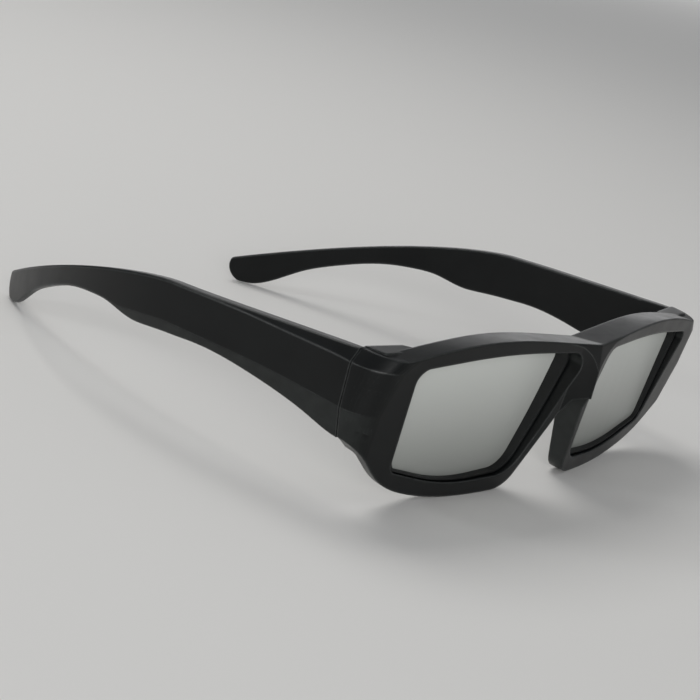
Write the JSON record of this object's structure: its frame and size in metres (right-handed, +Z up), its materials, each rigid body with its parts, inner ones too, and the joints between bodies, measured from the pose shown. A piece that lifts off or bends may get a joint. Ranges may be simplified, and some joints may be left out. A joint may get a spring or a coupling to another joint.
{
  "type": "eclipse glasses",
  "caption": "Wraparound dark plastic eclipse viewing glasses with angular silver film lenses and folding curved temples.",
  "frame": {"origin": "on the table, under the middle of the bounding box, with the glasses standing on their rims and temple tips", "axes": "+Z up, -Y the way the wearer looks, +X towards the wearer's left"},
  "size_m": [0.1522, 0.155, 0.0428],
  "materials": {
    "frame": "satin",
    "ring": "satin",
    "film": "flat silver film",
    "hinge": "dark steel"
  },
  "bodies": {
    "front": {"front_frame": "frame", "lens_ring_left": "ring", "lens_ring_right": "ring", "lens_film_left": "film", "lens_film_right": "film", "hinge_front_leaf_left": "hinge", "hinge_front_leaf_right": "hinge", "hinge_screw_left": "hinge", "hinge_screw_right": "hinge"},
    "temple_arm_left": {"temple_left": "frame", "hinge_temple_leaf_left": "hinge"},
    "temple_arm_right": {"temple_right": "frame", "hinge_temple_leaf_right": "hinge"}
  },
  "joints": [
    {"name": "fold_left", "type": "hinge", "parent": "front", "child": "temple_arm_left", "pos_m": [0.0698, -0.0568, 0.02755], "axis": [0, 0, 1], "range_deg": [0, 80]},
    {"name": "fold_right", "type": "hinge", "parent": "front", "child": "temple_arm_right", "pos_m": [-0.0698, -0.0568, 0.02755], "axis": [0, 0, -1], "range_deg": [0, 74]}
  ]
}
